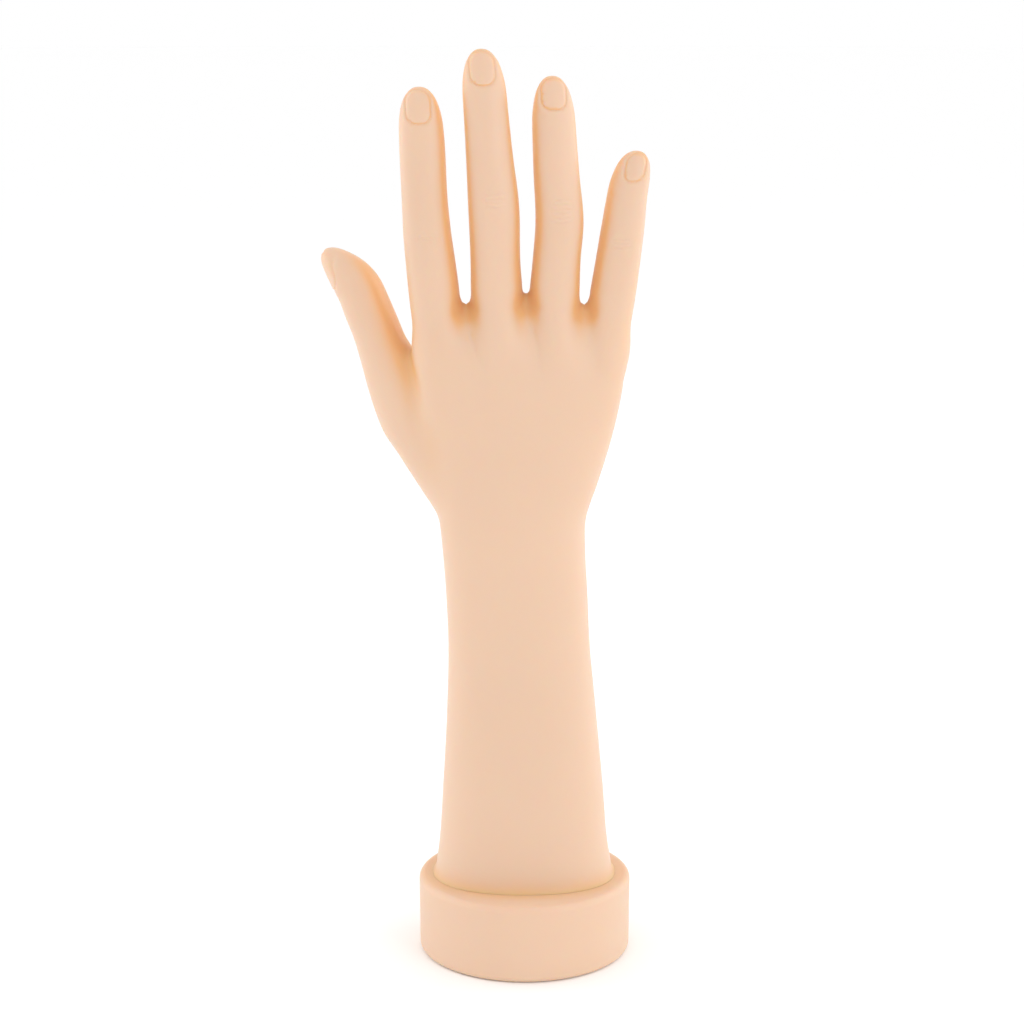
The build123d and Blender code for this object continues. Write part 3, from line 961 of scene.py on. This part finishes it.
@dataclass
class VinylArm:
    """The hand and forearm: one hollow closed vinyl moulding, open below for its plug."""

    form: HandForm
    foot: float = 27.3
    grain: float = 1.2  # size of the mesh
    wall: float = 3.0
    flare_height: float = 3.4
    flare_reach: float = 0.9
    edge: float = 0.1  # height of the foot's outer edge
    gap: float = 0.03  # between the foot and the deck of the base
    deck: float = 27.0
    lip: float = 5.6  # how far the foot's lip reaches inwards
    plug_from: float = 29.5
    plug_to: float = 35.5
    plug_groove: float = 1.8  # what is left of the wall outside the plug's groove
    cavity_top: float = 214.0
    cavity_step: float = 13.0
    cavity_close: float = 6.0  # how much smaller the cavity's last ring is
    # painted shade: how strongly the skin just above the deck is tinted orange, for the shade where the foot
    # meets the base
    foot_shade: float = 0.42
    foot_fade: float = 3.2  # height over which the painted shade above the deck fades

    def rough_union(self) -> bmesh.types.BMesh:
        """The plain tubes of all the limbs together, in millimetres."""
        gathered = bmesh.new()
        for limb in self.form.limbs:
            part = mesh_of(limb.rough(), f"rough_{limb.name}")
            gathered.from_mesh(part)
            bpy.data.meshes.remove(part)
        return gathered

    def one_skin(self, shape: bmesh.types.BMesh) -> bmesh.types.BMesh:
        """One even closed mesh round everything in the shape, which it frees."""
        mesh = mesh_of(shape, "rough")
        holder = placed("rough", mesh)
        remesh = holder.modifiers.new("one_skin", "REMESH")
        remesh.mode = "VOXEL"
        remesh.voxel_size = self.grain
        remesh.adaptivity = 0.0
        graph = bpy.context.evaluated_depsgraph_get()
        whole = bpy.data.meshes.new_from_object(holder.evaluated_get(graph))
        skin = bmesh.new()
        skin.from_mesh(whole)
        bpy.data.objects.remove(holder)
        for used in (mesh, whole):
            bpy.data.meshes.remove(used)
        return skin

    def settled(self, skin: bmesh.types.BMesh, rounds: int) -> None:
        """Moves every vertex onto the form."""
        points = np.array([v.co for v in skin.verts])
        for vert, place in zip(skin.verts, self.form.settle(points, rounds).tolist()):
            vert.co = place

    def relaxed(self, skin: bmesh.types.BMesh, times: int) -> None:
        """Evens out the spacing of the vertices."""
        for _ in range(times):
            bmesh.ops.smooth_vert(
                skin, verts=skin.verts, factor=0.5, use_axis_x=True, use_axis_y=True, use_axis_z=True
            )

    def refined(self, skin: bmesh.types.BMesh) -> None:
        """Halves the mesh where the relief is fine."""
        skin.verts.index_update()
        points = np.array([v.co for v in skin.verts])
        fine = self.form.needs_detail(points)
        faces = [f for f in skin.faces if all(fine[v.index] for v in f.verts)]
        edges = list({e for f in faces for e in f.edges})
        bmesh.ops.subdivide_edges(skin, edges=edges, cuts=1, use_grid_fill=True)

    def opened(self, skin: bmesh.types.BMesh) -> None:
        """Cuts the foot off level and builds the flare, lip, plug groove and cavity on from the cut."""
        level = self.foot + self.flare_height
        everything = [*skin.verts, *skin.edges, *skin.faces]
        bmesh.ops.bisect_plane(
            skin, geom=everything, plane_co=(0, 0, level), plane_no=(0, 0, -1), clear_outer=True
        )
        edges = [e for e in skin.edges if e.is_boundary]
        before = self.ring(level, 0.0)
        for height, inset in [*self.foot_steps(level), *self.cavity_steps()]:
            made = bmesh.ops.extrude_edge_only(skin, edges=edges)["geom"]
            edges = [g for g in made if isinstance(g, bmesh.types.BMEdge) and g.is_boundary]
            verts = list({v for e in edges for v in e.verts})
            after = self.ring(height, inset)
            bmesh.ops.transform(skin, matrix=after @ before.inverted(), verts=verts)
            before = after
        bmesh.ops.holes_fill(skin, edges=edges)

    def foot_steps(self, level: float) -> list[tuple[float, float]]:
        """The flare, the lip and the plug's groove.

        Args:
            level: the height at which the flare starts.

        Returns:
            The height and the inset of each ring, down the outside and up the inside.
        """
        bottom = self.deck + self.gap
        fall = bottom + self.edge - level
        corner = 0.5
        return [
            *((level + fall * share, -self.flare_reach * share**3) for share in FLARE_RINGS),
            (bottom, -self.flare_reach),
            (bottom, self.lip - corner),
            (bottom + corner, self.lip),
            (self.plug_from, self.lip),
            (self.plug_from, self.plug_groove),
            (self.plug_to, self.plug_groove),
            (self.plug_to, self.wall),
        ]

    def cavity_steps(self) -> list[tuple[float, float]]:
        """The height and the inset of each ring of the cavity, upwards."""
        heights = np.arange(self.plug_to + self.cavity_step, self.cavity_top, self.cavity_step)
        steps = [(float(height), self.wall) for height in heights]
        return [*steps, (self.cavity_top, self.wall + self.cavity_close)]

    def ring(self, height: float, inset: float) -> Matrix:
        """The placement of the arm's outline at a height, drawn in by an inset."""
        arm, at = self.form.arm, np.array([height])
        half_width = arm.at(at, "half_width")[0] - inset
        half_depth = (arm.at(at, "back")[0] + arm.at(at, "palm")[0]) / 2 - inset
        centre = Vector((arm.at(at, "across")[0], arm.at(at, "through")[0], height))
        return Matrix.Translation(centre) @ Matrix.Diagonal((half_width, half_depth, 1.0, 1.0))

    def hollows(self, skin: bmesh.types.BMesh) -> np.ndarray:
        """How much painted shade each vertex gets, between the fingers and just above the deck."""
        places = np.array([v.co for v in skin.verts])
        above = np.maximum(places[:, 2] - self.deck, 0)
        return np.maximum(self.form.hollowness(places), self.foot_shade * np.exp(-above / self.foot_fade))

    def build(self) -> bpy.types.Object:
        """The finished skin, in metres."""
        skin = self.one_skin(self.rough_union())
        self.settled(skin, 4)
        skin = self.one_skin(skin)
        self.settled(skin, 3)
        self.relaxed(skin, 3)
        self.settled(skin, 2)
        self.refined(skin)
        self.refined(skin)
        self.settled(skin, 3)
        self.opened(skin)
        # the share of painted shade at each vertex, stored on the mesh for the skin's material
        hollow = self.hollows(skin)
        bmesh.ops.triangulate(skin, faces=[f for f in skin.faces if len(f.verts) > 4])
        bmesh.ops.scale(skin, vec=(MM, MM, MM), verts=skin.verts)
        bmesh.ops.recalc_face_normals(skin, faces=skin.faces)
        mesh = mesh_of(skin, "vinyl_hand_and_forearm")
        attribute = mesh.attributes.new("hollow", "FLOAT", "POINT")
        attribute.data.foreach_set("value", hollow.astype(np.float32))
        mesh.polygons.foreach_set("use_smooth", [True] * len(mesh.polygons))
        return placed(mesh.name, mesh)


@dataclass
class ArmDresser:
    """Puts the vinyl skin on the arm and the finishes on its fittings."""

    vinyl: VinylFinish
    plug: MouldedFinish
    plated: MetalFinish
    skin_nodes: tuple[str, ...] = (
        *("forearm_skin", "palm_skin", "thumb_skin"),
        *(f"{name}_finger_skin" for name in ("index", "middle", "ring", "little")),
    )

    def build(self) -> None:
        """Makes the skin and dresses the plug, the spigot and their screw."""
        skin = VinylArm(RightHand().build()).build()
        skin.data.materials.append(self.vinyl.material())
        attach(skin, ARM_BODY)
        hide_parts(*self.skin_nodes)
        triangles = sum(len(p.vertices) - 2 for p in skin.data.polygons)
        log.info("hand and forearm skin: %d triangles", triangles)
        plug, plated = self.plug.material(), self.plated.material()
        dress("foot_plug", plug)
        for node in ("spigot", "spigot_washer", "spigot_screw"):
            dress(node, plated)


def dress(node: str, material: bpy.types.Material) -> None:
    """Gives a node of the frame its finish."""
    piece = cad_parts[node]
    piece.data.materials.clear()
    piece.data.materials.append(material)
    log.info("%s: %s", node, material.name)


@dataclass
class StandDresser:
    """Puts the finishes on the base and the swivel."""

    finishes: dict[str, VinylFinish | MouldedFinish | MetalFinish]

    def build(self) -> None:
        """Dresses each node of the stand."""
        made = {}
        for node, finish in self.finishes.items():
            if finish.name not in made:
                made[finish.name] = finish.material()
            dress(node, made[finish.name])


# --- studio ---


@dataclass
class SoftLight:
    """A large soft white lamp aimed at the hand."""

    name: str
    place: tuple[float, float, float]
    power: float
    size: float = 0.8
    aim: tuple[float, float, float] = (0.0, 0.0, 0.16)

    def build(self) -> None:
        """Hangs the lamp."""
        lamp = bpy.data.lights.new(self.name, "AREA")
        lamp.shape = "SQUARE"
        lamp.size = self.size
        lamp.energy = self.power
        holder = placed(self.name, lamp)
        holder.location = self.place
        holder.rotation_euler = (Vector(self.aim) - Vector(self.place)).to_track_quat("-Z", "Y").to_euler()


@dataclass
class Studio:
    """A pale floor, soft lamps and the camera."""

    eye: tuple[float, float, float] = (-0.0044, -0.800, 0.329)
    tilt_down: float = 12.22
    lens: float = 84.6
    sensor: float = 36.0
    floor_radius: float = 14.0
    paper: Colour = (1.0, 1.0, 1.0)
    lamps: list[SoftLight] = field(default_factory=list)

    def floor(self) -> None:
        """A wide pale floor."""
        shape = bmesh.new()
        bmesh.ops.create_circle(shape, cap_ends=True, segments=96, radius=self.floor_radius)
        bmesh.ops.reverse_faces(shape, faces=[f for f in shape.faces if f.normal.z < 0])
        floor = placed("studio_floor", mesh_of(shape, "studio_floor"))
        board = NodeBoard("studio_paper")
        board.give("Base Color", opaque(self.paper))
        board.give("Roughness", 0.9)
        floor.data.materials.append(board.material)

    def air(self) -> None:
        """Even white light from all round."""
        world = bpy.data.worlds.new("studio_air")
        world.use_nodes = True
        sky = world.node_tree.nodes["Background"]
        sky.inputs["Color"].default_value = (1.0, 1.0, 1.0, 1.0)
        sky.inputs["Strength"].default_value = 1.0
        bpy.context.scene.world = world

    def camera(self) -> None:
        """The camera."""
        lens = bpy.data.cameras.new("studio_camera")
        lens.lens = self.lens
        lens.sensor_width = self.sensor
        lens.clip_start = 0.01
        holder = placed("studio_camera", lens)
        aim = Euler((radians(90 - self.tilt_down), 0, 0)).to_matrix()
        holder.matrix_world = Matrix.Translation(self.eye) @ aim.to_4x4()
        bpy.context.scene.camera = holder

    def build(self) -> None:
        """Sets the whole studio up."""
        bpy.context.scene.view_settings.view_transform = "Standard"
        self.floor()
        self.air()
        self.camera()
        for lamp in self.lamps:
            lamp.build()


SKIN_COLOUR = (0.75, 0.52, 0.37)
# the colour of the painted shade in the skin's hollows and on the deck round the arm's foot
PAINTED_SHADE_COLOUR = (0.81, 0.45, 0.19)
# half width, half depth and height of the arm's foot, round which the base gets painted shade
ARM_FOOT_OVAL = (0.0317, 0.0241, 0.027)
BLACK_PLASTIC = MouldedFinish("black_plastic", (0.022, 0.022, 0.024), (0.04, 0.04, 0.042), 0.5)
ZINC = MetalFinish("zinc_plated_steel", (0.66, 0.67, 0.68), 0.32, (600.0, 600.0, 90.0))
SKIN_VINYL = VinylFinish("skin_vinyl", SKIN_COLOUR, PAINTED_SHADE_COLOUR, shade_strength=0.85)
BASE_VINYL = VinylFinish("base_vinyl", SKIN_COLOUR, PAINTED_SHADE_COLOUR, roughness=0.47, ring=ARM_FOOT_OVAL)
STAND_FINISHES = {
    "base_shell": BASE_VINYL,
    "ballast_ring": MetalFinish("turned_steel", (0.42, 0.42, 0.43), 0.42, (90.0, 90.0, 900.0), 0.14),
    "base_plate": BLACK_PLASTIC,
    "base_screws": ZINC,
    "foot_pad": MouldedFinish("foam_rubber", (0.035, 0.035, 0.036), (0.06, 0.06, 0.06), 0.85, 900.0, 0.5),
    "swivel_bush": MouldedFinish("acetal", (0.78, 0.77, 0.73), (0.7, 0.69, 0.65), 0.38, 2500.0, 0.05),
    "retaining_clip": MetalFinish("spring_steel", (0.16, 0.16, 0.17), 0.4, (400.0, 400.0, 400.0)),
}
LAMPS = [
    SoftLight("key_right", (0.9, -1.0, 1.0), 3.0),
    SoftLight("rim_left", (-1.0, 0.3, 0.5), 2.6),
    SoftLight("rim_right", (1.0, 0.4, 0.5), 2.4),
]


def main() -> None:
    """Builds the studio, the arm and the stand, in that order."""
    Studio(lamps=LAMPS).build()
    log.info("studio: done")
    ArmDresser(SKIN_VINYL, BLACK_PLASTIC, ZINC).build()
    StandDresser(STAND_FINISHES).build()


if __name__ == "__main__":
    main()
